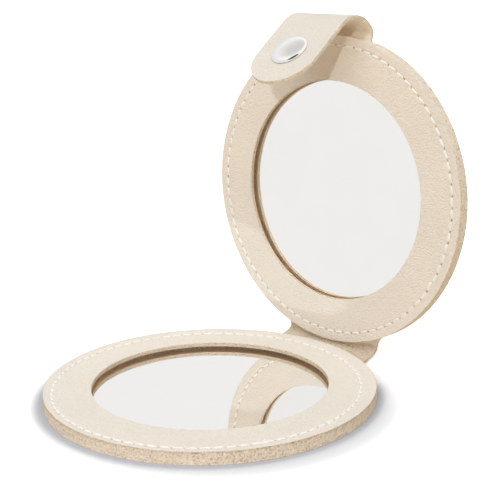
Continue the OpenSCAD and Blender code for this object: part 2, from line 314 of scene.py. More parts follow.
class Shade:
    """A node tree, with short names for the nodes that colours and reliefs are made of."""

    def __init__(self, tree):
        self.tree = tree

    def connect(self, node, inputs):
        """Sets or links inputs of a node, by name or number. Colours are written without alpha."""
        for key, value in inputs.items():
            socket = node.inputs[key]
            if isinstance(value, bpy.types.NodeSocket):
                self.tree.links.new(value, socket)
            elif socket.type == "RGBA":
                socket.default_value = (*value, 1)
            else:
                socket.default_value = value

    def node(self, kind, inputs=None, **settings):
        made = self.tree.nodes.new(kind)
        for key, value in settings.items():
            setattr(made, key, value)
        self.connect(made, inputs or {})
        return made

    def ramp(self, value, low, high):
        """0 below low, 1 above high and a smooth rise in between."""
        inputs = {"Value": value, "From Min": low, "From Max": high}
        return self.node("ShaderNodeMapRange", inputs, interpolation_type="SMOOTHSTEP").outputs["Result"]

    def combine(self, operation, first, second, kind="ShaderNodeMath"):
        return self.node(kind, {0: first, 1: second}, operation=operation).outputs["Value"]

    def add(self, first, second):
        return self.combine("ADD", first, second)

    def times(self, first, second):
        return self.combine("MULTIPLY", first, second)

    def mix(self, factor, first, second):
        """A colour between two, each a tuple or a socket."""
        inputs = {"Factor": factor, 6: first, 7: second}
        return self.node("ShaderNodeMix", inputs, data_type="RGBA").outputs[2]

    def axis(self, place, letter):
        return self.node("ShaderNodeSeparateXYZ", {"Vector": place}).outputs[letter]

    def seen(self, *kinds):
        """1 on the rays of some kinds and 0 on the others."""
        path = self.node("ShaderNodeLightPath")
        found = path.outputs[f"Is {kinds[0]} Ray"]
        for kind in kinds[1:]:
            found = self.combine("MAXIMUM", found, path.outputs[f"Is {kind} Ray"])
        return found


class Paint(Shade):
    def __init__(self, name, color):
        self.material = bpy.data.materials.new(name)
        self.material.use_nodes = True
        self.material.diffuse_color = (*color, 1)
        super().__init__(self.material.node_tree)
        self.color = color
        self.shader = self.tree.nodes["Principled BSDF"]
        self.connect(self.shader, {"Base Color": color})
        self.place = self.node("ShaderNodeTexCoord").outputs["Object"]

    def noise(self, scale, detail=2.0, roughness=0.5, place=None):
        """A noise between 0 and 1, with about scale cells to a metre."""
        place = self.place if place is None else place
        inputs = {"Vector": place, "Scale": scale, "Detail": detail, "Roughness": roughness}
        return self.node("ShaderNodeTexNoise", inputs).outputs["Fac"]

    def mapped(self, **changes):
        """The object's places, moved, turned or scaled."""
        return self.node("ShaderNodeMapping", {"Vector": self.place, **changes}).outputs["Vector"]

    def attribute(self, name):
        return self.node("ShaderNodeAttribute", attribute_name=name).outputs["Fac"]

    def mottle(self, cast, share):
        """The material's own colour, down to a share of it where a noise is low."""
        return self.mix(self.ramp(cast, 0.3, 0.7), scaled(self.color, share), self.color)

    def finish(self, looks, relief=None, depth=0.0):
        """Sets the shader's inputs and a relief whose depth is in millimetres."""
        if relief is not None:
            inputs = {"Height": relief, "Distance": depth * MM, "Strength": 1.0}
            looks = {**looks, "Normal": self.node("ShaderNodeBump", inputs).outputs["Normal"]}
        self.connect(self.shader, looks)
        return self.material


def leather(name, color, crease_share=0.7, depth=0.15):
    """Finely pebbled leather, with slanting creases, painted shade in the pebbles' valleys and painted shade
    in its stitch holes.
    """
    paint = Paint(name, color)
    inputs = {"Vector": paint.place, "Scale": 2300.0, "Smoothness": 0.6, "Randomness": 1.0}
    pebbles = paint.node("ShaderNodeTexVoronoi", inputs, feature="SMOOTH_F1").outputs["Distance"]
    slanting = paint.mapped(Rotation=(0.5, 0.9, 0.4), Scale=(0.5, 1.5, 1.5))
    creases = paint.noise(2100.0, place=slanting)
    grit = paint.noise(5200.0)
    relief = paint.add(paint.times(pebbles, -0.9), paint.times(creases, crease_share))
    relief = paint.add(relief, paint.times(grit, 0.25))
    clouds = paint.ramp(paint.noise(70.0, 3.0), 0.3, 0.7)
    tone = paint.mix(clouds, scaled(color, 0.985), scaled(color, 1.01))
    # Painted shade: the pebbles' valleys are darkened
    valleys = paint.times(paint.ramp(pebbles, 0.45, 0.85), 0.28)
    tone = paint.mix(valleys, tone, scaled(color, 0.80))
    # Painted shade darkens the needle holes
    tone = paint.mix(paint.attribute("hole_shade"), tone, HOLE_SHADE_COLOR)
    rough = paint.add(paint.times(paint.ramp(creases, 0.2, 0.8), 0.14), 0.52)
    looks = {"Base Color": tone, "Roughness": rough, "Specular IOR Level": 0.35}
    return paint.finish(looks, relief, depth)


def cut_edge(name, color, pale=EDGE_PALE, dark=EDGE_DARK, glow=(0, 0, 0)):
    """The raw cut edge of leather: pale skins, short fibres and small open pores, with an optional painted
    glow.
    """
    paint = Paint(name, color)
    fibres = paint.noise(3600.0, 3.0, 0.6)
    specks = paint.noise(2100.0)
    clots = paint.ramp(paint.noise(420.0), 0.40, 0.65)
    shifted = paint.mapped(Location=(0.3, 0.1, 0.2))
    pores = paint.ramp(paint.noise(2500.0, 1.0, place=shifted), 0.57, 0.65)
    skin = paint.attribute("skin")
    tone = paint.mix(paint.ramp(fibres, 0.35, 0.65), scaled(color, 0.93), scaled(color, 1.06))
    layers = (
        (paint.times(clots, 0.4), pale),
        (paint.ramp(specks, 0.52, 0.62), pale),
        (paint.times(pores, 0.5), dark),
        (paint.times(skin, 0.35), pale),
        (paint.times(skin, -0.35), dark),
    )
    for share, layer in layers:
        tone = paint.mix(share, tone, layer)
    relief = paint.combine("SUBTRACT", paint.add(fibres, specks), paint.times(pores, 0.8))
    looks = {
        "Base Color": tone, "Roughness": 0.85, "Specular IOR Level": 0.25,
        "Emission Color": glow, "Emission Strength": 1.0,
    }
    return paint.finish(looks, relief, 0.14)


def thread_material():
    """Twisted polyester thread with fine filaments."""
    paint = Paint("thread", THREAD_COLOR)
    fibres = paint.noise(6000.0, 3.0, 0.6)
    tone = paint.mottle(fibres, 0.9)
    return paint.finish({"Base Color": tone, "Roughness": 0.5, "Sheen Weight": 0.2}, fibres, 0.05)


def metal(name, color, roughness, scratch):
    """Bare or plated metal with a little haze and fine handling marks."""
    paint = Paint(name, color)
    haze = paint.noise(350.0, 3.0)
    marks = paint.noise(2600.0, 4.0, 0.7)
    dull = paint.times(paint.ramp(haze, 0.3, 0.75), roughness * 0.6)
    looks = {
        "Base Color": paint.mottle(haze, 0.97),
        "Roughness": paint.add(dull, roughness * 0.7),
        "Metallic": 1.0,
    }
    return paint.finish(looks, marks, scratch)


def sheet_material():
    """Glass as a clear sheet that doesn't bend light, with a faint film on it."""
    paint = Paint("clear_sheet", WHITE)
    film = paint.ramp(paint.noise(FILM_SCALE, 3.0), 0.3, 0.7)
    return paint.finish({"Alpha": paint.add(paint.times(film, 0.004), 0.01), "Roughness": 0.0})


def glass_material():
    """Clear glass with a faint film on it, which bends light only a little."""
    paint = Paint("glass", WHITE)
    film = paint.ramp(paint.noise(FILM_SCALE, 3.0), 0.3, 0.7)
    tone = paint.mix(film, GLASS_FILM, WHITE)
    looks = {"Base Color": tone, "Roughness": 0.0, "IOR": 1.03, "Transmission Weight": 1.0}
    return paint.finish(looks)


def silver_material():
    """The silvering on the back of the glass."""
    paint = Paint("silvering", SILVER_COLOR)
    tone = paint.mottle(paint.noise(40.0), 0.996)
    return paint.finish({"Base Color": tone, "Metallic": 1.0, "Roughness": 0.0})


def tape_material():
    """Matt adhesive film."""
    paint = Paint("tape", TAPE_COLOR)
    cast = paint.noise(800.0, 3.0)
    return paint.finish({"Base Color": paint.mottle(cast, 0.9), "Roughness": 0.7}, cast, 0.03)


def floor_material():
    """White table that keeps the object's shadow, with a painted shadow added round the base, and throws a
    warm light back at the object.
    """
    paint = Paint("floor", FLOOR_COLOR)
    paint.tree.nodes.remove(paint.shader)
    # Painted shadow: the floor darkens where an occlusion lookup finds the object near, fades this out
    # behind the base, and darkens a soft disc shifted beside the base
    inputs = {"Distance": CONTACT_REACH * MM, "Normal": Vector(CONTACT_TILT).normalized()}
    near = paint.node("ShaderNodeAmbientOcclusion", inputs, samples=16).outputs["AO"]
    behind = paint.ramp(paint.axis(paint.place, "Y"), *scaled(CONTACT_END_Y, MM))
    open_share = paint.combine("MAXIMUM", paint.ramp(near, 0.66, 0.99), behind)
    away = paint.combine("DISTANCE", paint.place, Vector((*SHADE_AT, 0)) * MM, "ShaderNodeVectorMath")
    beside = paint.times(paint.ramp(away, *scaled(SHADE_REACH, MM)), SHADE_SHARE)
    open_share = paint.combine("MINIMUM", open_share, paint.add(beside, 1 - SHADE_SHARE))
    seen = paint.seen("Camera", "Glossy", "Transmission")
    shaded = paint.mix(open_share, CONTACT_SHADOW_COLOR, FLOOR_COLOR)
    matt = paint.node("ShaderNodeBsdfDiffuse", {"Color": paint.mix(seen, FLOOR_GLOW, shaded)})
    lift = paint.times(paint.combine("POWER", open_share, 3.0), FLOOR_LIFT)
    glow = paint.node("ShaderNodeEmission", {"Color": WHITE, "Strength": paint.times(seen, lift)})
    both = paint.node("ShaderNodeAddShader", {0: matt.outputs[0], 1: glow.outputs[0]})
    paint.connect(paint.tree.nodes["Material Output"], {"Surface": both.outputs[0]})
    return paint.material


def grid_faces(rows, columns, ends="capped"):
    """Quads between the rings of a grid of points that is numbered ring by ring.

    The last ring is joined to the first one, or both are capped or left open."""
    faces = []
    for i in range(rows if ends == "joined" else rows - 1):
        here, after = i * columns, (i + 1) % rows * columns
        for j in range(columns):
            beside = (j + 1) % columns
            faces.append((here + j, here + beside, after + beside, after + j))
    if ends == "capped":
        faces += [tuple(row * columns + j for j in range(columns)) for row in (0, rows - 1)]
    return faces


def add_object(name, data):
    made = bpy.data.objects.new(name, data)
    bpy.context.scene.collection.objects.link(made)
    return made


def add_piece(name, points, faces, place, materials, slots=None, skins=None, hole_shades=None):
    """A smooth mesh from points in millimetres, with its faces turned outward.

    skins says how pale each point of a cut edge is, and hole_shades how much painted shade darkens a needle
    hole there."""
    mesh = bpy.data.meshes.new(name)
    mesh.from_pydata([(place @ Vector(p)) * MM for p in points], [], faces)
    for material in materials:
        mesh.materials.append(material)
    if slots:
        mesh.polygons.foreach_set("material_index", slots)
    work = bmesh.new()
    work.from_mesh(mesh)
    bmesh.ops.recalc_face_normals(work, faces=work.faces)
    work.to_mesh(mesh)
    work.free()
    if skins:
        for key, numbers in (("skin", skins), ("hole_shade", hole_shades or [0.0] * len(points))):
            mesh.attributes.new(key, "FLOAT", "POINT").data.foreach_set("value", numbers)
    mesh.shade_smooth()
    mesh.set_sharp_from_angle(angle=SHARP_ANGLE)
    return add_object(name, mesh)


def smooth_step(value):
    held = min(1.0, max(0.0, value))
    return held * held * (3 - 2 * held)


def spread(start, end, step):
    """Evenly spaced numbers from start to end, about a step apart."""
    count = max(1, round(abs(end - start) / step))
    return [start + (end - start) * i / count for i in range(count + 1)]


def corner_points(center_a, center_b, radius, start, end, steps=3, pale=1.0):
    """Points on a rounded corner, from one angle to another, with their paleness."""
    found = []
    for i in range(steps + 1):
        angle = radians(start + (end - start) * i / steps)
        found.append((center_a + radius * cos(angle), center_b + radius * sin(angle), pale))
    return found


def rounded_profile(corners, radius):
    """A (radius, height) profile with its inner corners rounded by a small radius."""
    found = [corners[0]]
    for first, middle, last in zip(corners, corners[1:], corners[2:]):
        here = Vector(middle)
        before, after = Vector(first) - here, Vector(last) - here
        reach = min(radius, before.length * 0.45, after.length * 0.45)
        a, b = here + before.normalized() * reach, here + after.normalized() * reach
        if before.length * 0.4 > reach:
            found.append(tuple(a + before.normalized() * reach * 0.15))
        for share in (0.0, 0.25, 0.5, 0.75, 1.0):
            found.append(tuple(a.lerp(here, share).lerp(here.lerp(b, share), share)))
        if after.length * 0.4 > reach:
            found.append(tuple(b + after.normalized() * reach * 0.15))
    found.append(corners[-1])
    return found


def turned_points(profile, steps):
    """A ring of points round Z for each (radius, height) of a profile."""
    points = []
    for r, z in profile:
        for j in range(steps):
            angle = TURN * j / steps
            points.append((r * cos(angle), r * sin(angle), z))
    return points


def lathe_piece(name, corners, radius, place, materials, steps=128):
    """A turned piece with rounded corners. A profile that starts off the axis is closed to a ring."""
    if corners[0][0] > 0:
        profile = rounded_profile(corners + corners[:2], radius)[1:-1]
        faces = grid_faces(len(profile), steps, "joined")
        return add_piece(name, turned_points(profile, steps), faces, place, materials)
    profile = rounded_profile(corners, radius) if radius else corners
    start, end = ((0, 0, profile[i][1]) for i in (0, -1))
    points = [start, *turned_points(profile[1:-1], steps), end]
    faces = [tuple(1 + k for k in face) for face in grid_faces(len(profile) - 2, steps, "open")]
    last = len(points) - 1
    for j in range(steps):
        beside = (j + 1) % steps
        faces += [(0, 1 + beside, 1 + j), (last, last - steps + j, last - steps + beside)]
    return add_piece(name, points, faces, place, materials)


def wavering(radius, seed):
    """A round outline with a slight unevenness, the same for every ply of one disc."""
    def outline(angle):
        around = Vector((WAVER_TURNS * cos(angle), WAVER_TURNS * sin(angle), seed))
        return radius + OUTLINE_WAVER * noise.noise(around)

    return outline


def moved(outline, inset):
    """The outline moved out or in by a distance."""
    return lambda angle: outline(angle) + inset


def seam_dip(angle, radius, across):
    """How far a stitched face is pulled in, and how much painted shade darkens its needle hole there."""
    stitch = angle / PITCH - HOLE_PHASE
    along = (stitch - round(stitch)) * PITCH * radius
    turned_along = along + HOLE_SLANT * across
    turned_across = across - HOLE_SLANT * along
    index = round(stitch) % STITCH_COUNT
    open_share = HOLE_OPEN_LEAST + (1 - HOLE_OPEN_LEAST) * noise.cell(Vector((index * 1.7, radius, 0.5)))
    hole = open_share * exp(-((turned_along / HOLE_LONG) ** 4) - (turned_across / HOLE_WIDE) ** 2)
    groove = GROOVE_DEEP * exp(-((across / GROOVE_WIDE) ** 2))
    pull = PULL_DEEP * exp(-((along / PULL_WIDE) ** 2) - (across / PULL_WIDE) ** 2)
    return groove + pull + HOLE_DEEP * hole, hole


def seam_loops(disc, height, side):
    """The loops of a stitched face round its seam, inward on a front and outward on a back."""
    offsets = [-side * offset for offset in SEAM_OFFSETS]
    return [Loop(disc.stitch_r + across, height, 0.0, side, across) for across in offsets]


def wall_loops(outline, inward, low, high, low_r=PLY_CORNER_R, high_r=PLY_CORNER_R, rim=1.0):
    """The loops up a cut edge, with small rounded corners; its high part is as pale as rim.

    inward is 1 where the leather is inside the outline and -1 at a window."""
    rise = high - low - low_r - high_r
    steps = corner_points(-low_r, low + low_r, low_r, -90, 0)
    for share, pale in ((0.12, 1.0), (0.5, 0.0), (0.88, rim)):
        steps.append((0.0, low + low_r + rise * share, pale))
    steps += corner_points(-high_r, high - high_r, high_r, 0, 90, pale=rim)
    return [Loop(moved(outline, inward * inset), z, pale) for inset, z, pale in steps]


def add_disc_piece(disc, word, loops, angles, place, materials, row_slots, capped=False):
    """A piece made of loops, with a material slot for each row of faces between them.

    The last loop joins the first one, or both are capped."""
    points, hole_shades, skins = [], [], []
    for radius, height, pale, side, across in loops:
        shift = disc.shift if side else 0.0
        for angle in angles:
            r = radius(angle) if callable(radius) else radius
            dip, hole_shade = seam_dip(angle, disc.stitch_r, across) if side else (0.0, 0.0)
            points.append((r * cos(angle), shift + r * sin(angle), height - side * dip))
            hole_shades.append(hole_shade)
            skins.append(pale)
    columns = len(angles)
    faces = grid_faces(len(loops), columns, "capped" if capped else "joined")
    slots = [slot for slot in row_slots for _ in range(columns)]
    if capped:
        slots += [0, 0]
    return add_piece(f"{disc.body}_{word}", points, faces, place, materials, slots, skins, hole_shades)


def even_angles(snaps=()):
    """Angles round a disc, with the nearest ones moved onto the corners of its outline."""
    angles = [TURN * i / AROUND for i in range(AROUND)]
    for snap in snaps:
        nearest = min(range(AROUND), key=lambda i: abs(angles[i] - snap % TURN))
        angles[nearest] = snap % TURN
    return angles


def front_ring(disc, materials):
    """The stitched leather ring in front of the glass."""
    outline = wavering(DISC_R, disc.seed)
    window = wavering(WINDOW_R, disc.seed + 7)
    # The outer edge's top is painted darker on the base and paler on the lid
    edge = wall_loops(outline, 1, CORE_TOP, DISC_TOP, high_r=CORNER_R, rim=disc.rim)
    face = [Loop(moved(outline, -CORNER_STEP), DISC_TOP)]
    face += seam_loops(disc, DISC_TOP, 1)
    face += [Loop(r, DISC_TOP) for r in FACE_LOOP_RADII]
    face += [Loop(moved(window, CORNER_STEP), DISC_TOP)]
    inner = wall_loops(window, -1, CORE_TOP, DISC_TOP, high_r=CORNER_R, rim=WINDOW_RIM_PALE)[::-1]
    loops = [Loop(moved(window, FLESH_SHOWN), CORE_TOP), *edge, *face, *inner]
    # Slot 3, the window's wall, takes the edge colour painted lighter for the mirror's light
    row_slots = [2] + [1] * (len(edge) - 1) + [0] * (len(face) + 1) + [3] * (len(inner) - 1) + [2]
    return add_disc_piece(disc, "front", loops, even_angles(), disc.place, materials, row_slots)


def spacer_ring(disc, materials):
    """The board ring between the cover and the front ring."""
    loops = wall_loops(wavering(DISC_R - BOARD_INSET, disc.seed), 1, COVER_TOP, CORE_TOP)
    loops += [Loop(SEAT_R, CORE_TOP), Loop(SEAT_R, COVER_TOP)]
    return add_disc_piece(disc, "board", loops, even_angles()[::2], disc.place, materials, [])


def fillet_center(fillet_r):
    """Centre of the fillet between a disc and the neck's side, from the disc's centre."""
    x = NECK_HALF_W + fillet_r
    return x, sqrt((DISC_R + fillet_r) ** 2 - x ** 2)


def neck_half_width(y, fillet_r):
    """Half of the neck's width at a distance from the centre of the disc beside it."""
    x, middle = fillet_center(fillet_r)
    return NECK_HALF_W if y >= middle else x - sqrt(fillet_r ** 2 - (y - middle) ** 2)


def cover_outline(disc):
    """The cover's outline round its centre: the neck up to cut_y, and a chord at -chord_y."""
    center_x, center_y = fillet_center(disc.fillet_r)
    reach = DISC_R + disc.fillet_r
    round_edge = wavering(DISC_R, disc.seed)

    def outline(angle):
        x, y = cos(angle), sin(angle)
        edge = round_edge(angle)
        if y * reach > center_y:
            edge = disc.cut_y / y
            toward = abs(x) * center_x + y * center_y
            inside = toward ** 2 - reach ** 2 + disc.fillet_r ** 2
            if inside > 0:
                edge = min(edge, toward - sqrt(inside))
        if disc.chord_y and y < 0:
            edge = min(edge, -disc.chord_y / y)
        return edge

    return outline


def cover(disc, materials):
    """The back cover with its half of the neck."""
    corner_x = neck_half_width(disc.cut_y, disc.fillet_r)
    corners = [(corner_x, disc.cut_y)]
    if disc.chord_y:
        corners.append((sqrt(DISC_R ** 2 - disc.chord_y ** 2), -disc.chord_y))
    angles = even_angles([atan2(y, side * x) for x, y in corners for side in (1, -1)])
    outline = cover_outline(disc)
    inner = moved(outline, -CORNER_STEP)
    back = seam_loops(disc, 0.0, -1) + [Loop(inner, 0.0)]
    edge = wall_loops(outline, 1, 0.0, COVER_TOP, low_r=CORNER_R)
    front = [Loop(inner, COVER_TOP), Loop(DISC_R - COVER_LOOP_INSET, COVER_TOP)]
    row_slots = [0] * len(back) + [1] * (len(edge) - 1) + [0] * len(front)
    loops, place = back + edge + front, disc.back_place
    return add_disc_piece(disc, "back", loops, angles, place, materials, row_slots, capped=True)


def flat_disc(name, r, low, high, corner, place, materials, steps=GLASS_STEPS):
    """A disc on the axis from one height to another."""
    corners = [(0, low), (r, low), (r, high), (0, high)]
    return lathe_piece(name, corners, corner, place, materials, steps)


def sink_plate_pocket(piece):
    """Cuts the pocket for the steel plate into the back."""
    sizes = (PLATE_R + PLATE_PLAY, -CUT_OVERRUN, COVER_TOP - POCKET_ROOF, 0)
    tool = flat_disc("pocket_tool", *sizes, PLATE_PLACE, [], PLATE_STEPS)
    cut = piece.modifiers.new("pocket", "BOOLEAN")
    cut.operation = "DIFFERENCE"
    cut.solver = "EXACT"
    cut.object = tool
    shown = bpy.context.evaluated_depsgraph_get()
    made = bpy.data.meshes.new_from_object(piece.evaluated_get(shown))
    piece.modifiers.clear()
    piece.data = made
    bpy.data.objects.remove(tool)


def tube_points(path):
    """Rings of a three-lobed twisted thread along a path."""
    points = []
    for i, here in enumerate(path):
        ahead = path[min(i + 1, len(path) - 1)] - path[max(i - 1, 0)]
        ahead.normalize()
        side = ahead.cross(Vector((0, 0, 1))).normalized()
        top = side.cross(ahead)
        share = i / (len(path) - 1)
        radius = THREAD_R * (1 - THREAD_TAPER * abs(2 * share - 1) ** 3)
        for j in range(THREAD_SIDES):
            angle = TURN * j / THREAD_SIDES
            lobe = 1 - THREAD_LOBE + THREAD_LOBE * cos(3 * angle + THREAD_TWIST * i)
            wide = side * THREAD_SPREAD * cos(angle) + top * sin(angle)
            points.append(here + wide * radius * lobe)
    return points


def stitch_path(disc, index, height, side, luck):
    """Centre line of one stitch from its needle hole to the next one."""
    lean, lift, sway, slack = (luck.uniform(*ends) for ends in STITCH_LUCK)
    proud = THREAD_PROUD if side > 0 else BACK_PROUD
    path = []
    for i in range(STITCH_STEPS + 1):
        along = 2 * i / STITCH_STEPS - 1
        arched = 1 - along * along
        angle = (index + HOLE_PHASE + 0.5 + along * STITCH_REACH) * PITCH
        r = disc.stitch_r + sway - lean * along - slack * arched
        dive = STITCH_DIVE * smooth_step((abs(along) - STITCH_FLAT_SHARE) / (1 - STITCH_FLAT_SHARE))
        z = height + side * (proud - THREAD_R + lift + STITCH_RISE * arched - dive)
        path.append(Vector((r * cos(angle), disc.shift + r * sin(angle), z)))
    return path


def loose_end(disc):
    """The thread's short free end beside a stitch, from steps outward, along the seam and up."""
    angle = (disc.end_stitch + HOLE_PHASE) * PITCH
    out = Vector((cos(angle), sin(angle), 0))
    along = Vector((-sin(angle), cos(angle), 0))
    middle = out * disc.stitch_r + Vector((0, disc.shift, DISC_TOP))
    return [middle + out * a + along * b + Vector((0, 0, c)) for a, b, c in disc.end_path]


def seam_thread(disc, name, height, side, seed, material, ends=()):
    """One round of stitches, with any loose ends of the thread."""
    luck = random.Random(seed)
    paths = [stitch_path(disc, i, height, side, luck) for i in range(STITCH_COUNT)]
    points, faces = [], []
    for path in [*paths, *ends]:
        faces += [tuple(len(points) + k for k in face) for face in grid_faces(len(path), THREAD_SIDES)]
        points += tube_points(path)
    return add_piece(name, points, faces, disc.place, [material])


def bent_line(pivot, before, after, reach_before, reach_after, along):
    """The y, z and turn of a strip's middle line, which bends about a crease.

    before and after are the strip's turns on the two sides of the crease."""
    toward, away = Vector((cos(before), sin(before))), Vector((cos(after), sin(after)))
    middle = Vector(pivot)
    if along <= -reach_before:
        return *(middle + toward * along), before
    if along >= reach_after:
        return *(middle + away * along), after
    share = (along + reach_before) / (reach_before + reach_after)
    start, end = middle - toward * reach_before, middle + away * reach_after
    place = start.lerp(middle, share).lerp(middle.lerp(end, share), share)
    heading = (middle - start).lerp(end - middle, share)
    return *place, atan2(heading.y, heading.x)


def on_arc(center, radius, turn):
    """The place on an arc at which a strip that follows it has a turn."""
    return center[0] + radius * sin(turn), center[1] - radius * cos(turn)


def bar_section(half_w, half_t):
    """The outline of a flat bar with small rounded corners: across, up and paleness."""
    x, z = half_w - CORNER_R, half_t - CORNER_R
    half = [(x * (2 * j / STRIP_COLUMNS - 1), half_t, 0.0) for j in range(STRIP_COLUMNS + 1)]
    half += corner_points(x, z, CORNER_R, 60, 0, 2)
    half += [(half_w, 0.0, 0.0)]
    half += corner_points(x, -z, CORNER_R, 0, -60, 2)
    return half + [(-across, -up, pale) for across, up, pale in half]


def strip_piece(name, stations, place, materials, wrinkle, inner=0):
    """A bent strip; inner is the material slot of its upper face."""
    points, skins = [], []
    for half_w, y, z, turn, along, thick, loose in stations:
        half_t = thick / 2
        for across, up, pale in bar_section(half_w, half_t):
            lifted = up + loose * wrinkle(across, along, up / half_t)
            points.append((across, y - lifted * sin(turn), z + lifted * cos(turn)))
            skins.append(pale)
    rows, count = len(stations), len(points) // len(stations)
    edge = [1] * (count // 2 - STRIP_COLUMNS)
    slots = ([inner] * STRIP_COLUMNS + edge + [0] * STRIP_COLUMNS + edge) * (rows - 1) + [1, 1]
    faces = grid_faces(rows, count)
    return add_piece(name, points, faces, place, materials, slots, skins)


def thinned(share):
    """The leather's thickness, from the cover's own to that of its bent parts."""
    return COVER_TOP + (FLEX_T - COVER_TOP) * smooth_step(share)


def neck_wrinkle(across, along, up):
    """Slanting creases of the neck's leather, strongest on its inside near the lid's crease."""
    inside = 1.0 if up > 0 else 0.35
    near = exp(-((along - SPINE_LEN + 0.8) / 2.2) ** 2)
    slow = noise.noise(Vector((across * 0.13, along * 0.45, 3.0)))
    sharp = abs(noise.noise(Vector((across * 0.16 - along * 0.35, along * 1.1 + across * 0.12, 9.0))))
    return inside * (NECK_WAVE * slow + near * (NECK_CREASE * min(sharp, 0.4) - 0.03))


def base_neck(materials):
    """The neck from the base to the middle of the spine."""
    stations = []
    for along in spread(-BASE_CUT, SPINE_LEN / 2, BASE_NECK_STEP):
        pivot = (BASE_CREASE.y, COVER_MID)
        middle = bent_line(pivot, 0, SPINE_RISE, CREASE_REACH, CREASE_REACH, along)
        half_w = neck_half_width(BASE_CREASE.y + along, BASE_FILLET_R)
        from_cut = along + BASE_CUT
        loose = smooth_step(from_cut / WRINKLE_RISE)
        stations.append(Station(half_w, *middle, along, thinned(from_cut / 2), loose))
    return strip_piece("base_neck", stations, BASE_PLACE, materials, neck_wrinkle)


def lid_neck(materials):
    """The neck from the middle of the spine to the lid."""
    stations, reach = [], SPINE_LEN / 2
    for along in spread(-reach, LID_CUT, LID_NECK_STEP):
        middle = bent_line(LID_CREASE.yz, SPINE_RISE, LID_RISE, reach, LID_BEND, along)
        half_w = neck_half_width(LID_CREASE_Y - along, LID_FILLET_R)
        thick = thinned(1 - (along + 0.3) / LID_CUT)
        loose = smooth_step((LID_CUT - along) / WRINKLE_RISE)
        stations.append(Station(half_w, *middle, along + SPINE_LEN, thick, loose))
    return strip_piece("lid_neck", stations, BASE_PLACE, materials, neck_wrinkle)


def strap_wrinkle(across, along, up):
    """The strap's unevenness, finest on its root's bend."""
    slow = noise.noise(Vector((across * 0.10, along * 0.12, 21.0)))
    fine = noise.noise(Vector((across * 0.35, along * 0.9, 17.0)))
    return 0.04 * slow + 0.05 * fine * exp(-((along - 1.8) / 1.6) ** 2)


def strap_half_width(along):
    """Half of the strap's width; before its root it is the disc's own outline."""
    width = STRAP_HALF_W + STRAP_FLARE * exp(-max(0.0, along) / FLARE_REACH)
    if along < ROOT_LEN:
        flat_y = min(ROOT_Y + along, DISC_R - 0.01)
        width = max(width, sqrt(DISC_R ** 2 - flat_y ** 2))
    return width


def strap_stations():
    """The strap from its cut to the start of its leg."""
    found = []
    cut = ROOT_Y - STRAP_CUT_Y
    for along in spread(-cut, ROOT_REACH, 0.09):
        middle = bent_line((ROOT_Y, COVER_MID), 0, -STRAP_LEAN, cut, ROOT_REACH, along)
        found.append((*middle, along))
    # The knuckle slides along the leaning root until it touches the arch from inside
    way_y, way_z = cos(STRAP_LEAN), -sin(STRAP_LEAN)
    y, z = ROOT_Y - KNUCKLE_R * way_z, COVER_MID + KNUCKLE_R * way_y
    from_y, from_z = y - ARCH_Y, z - ARCH_Z
    run = from_y * way_y + from_z * way_z
    slide = sqrt(run ** 2 - from_y ** 2 - from_z ** 2 + (ARCH_R - KNUCKLE_R) ** 2) - run
    knuckle = (y + slide * way_y, z + slide * way_z)
    knuckle_turn = atan2(knuckle[0] - ARCH_Y, ARCH_Z - knuckle[1])
    for turn in spread(-STRAP_LEAN, knuckle_turn, 0.10):
        along = slide + KNUCKLE_R * (turn + STRAP_LEAN)
        found.append((*on_arc(knuckle, KNUCKLE_R, turn), turn, along))
    start = along
    for turn in spread(knuckle_turn, LEG_TURN, 0.035)[1:]:
        along = start + ARCH_R * (turn - knuckle_turn)
        found.append((*on_arc((ARCH_Y, ARCH_Z), ARCH_R, turn), turn, along))
    for run in spread(0, ARCH_TAIL, 0.4)[1:]:
        y, z = LEG_Y + run * cos(LEG_TURN), LEG_Z + run * sin(LEG_TURN)
        found.append((y, z, LEG_TURN, along + run))
    length = along + ARCH_TAIL
    stations = []
    for y, z, turn, along in found:
        from_cut = along + cut
        thick = thinned(from_cut / cut / 2)
        loose = smooth_step(from_cut / 0.8) * smooth_step((length - along) / 3)
        stations.append(Station(strap_half_width(along), y, z, turn, along, thick, loose))
    return stations


def strap_leg(materials):
    """The strap's straight leg with its rounded tip, drawn round the cap's place."""
    flat = spread(ARCH_TAIL - LEG_TO_CAP, CAP_TO_TIP, 1.0)[:-1]
    sides = [(-STRAP_HALF_W, y, -1, 0) for y in flat]
    for angle in spread(pi, 0, radians(2.5)):
        x, y = cos(angle), sin(angle)
        sides.append((STRAP_HALF_W * x, CAP_TO_TIP + STRAP_HALF_W * y, x, y))
    sides += [(STRAP_HALF_W, y, 1, 0) for y in reversed(flat)]
    half_t = FLEX_T / 2
    outer = [(-CORNER_R - 0.4, -half_t, 0.0), (-CORNER_R - 0.05, -half_t, 0.0)]
    outer += corner_points(-CORNER_R, CORNER_R - half_t, CORNER_R, -90, 0)
    levels = outer + [(0.0, 0.0, 0.0)] + [(inset, -z, pale) for inset, z, pale in reversed(outer)]
    points, skins = [], []
    for inset, z, pale in levels:
        for x, y, out_x, out_y in sides:
            edge = inset
            if out_y:
                edge += 0.03 * noise.noise(Vector((x * 0.7, y * 0.7, 5.0)))
            points.append((x + edge * out_x, y + edge * out_y, z))
            skins.append(pale)
    rows, count = len(levels), len(sides)
    row_slots = [0, 0] + [1] * (rows - 5) + [2, 2]
    slots = [slot for slot in row_slots for _ in range(count)] + [0, 2]
    faces = grid_faces(rows, count)
    return add_piece("strap_leg", points, faces, LEG_PLACE, materials, slots, skins)


def cap_profile():
    """The polished cap: half of a flat ellipse, turned in a little under its edge."""
    outer = []
    for turn in spread(0, pi / 2, radians(3)):
        outer.append((CAP_R * sin(turn), CAP_BASE + (CAP_H - CAP_BASE) * cos(turn)))
    return outer + [(CAP_R - 0.1, 0.06), (CAP_R - 0.35, 0.02), (0, 0.02)]


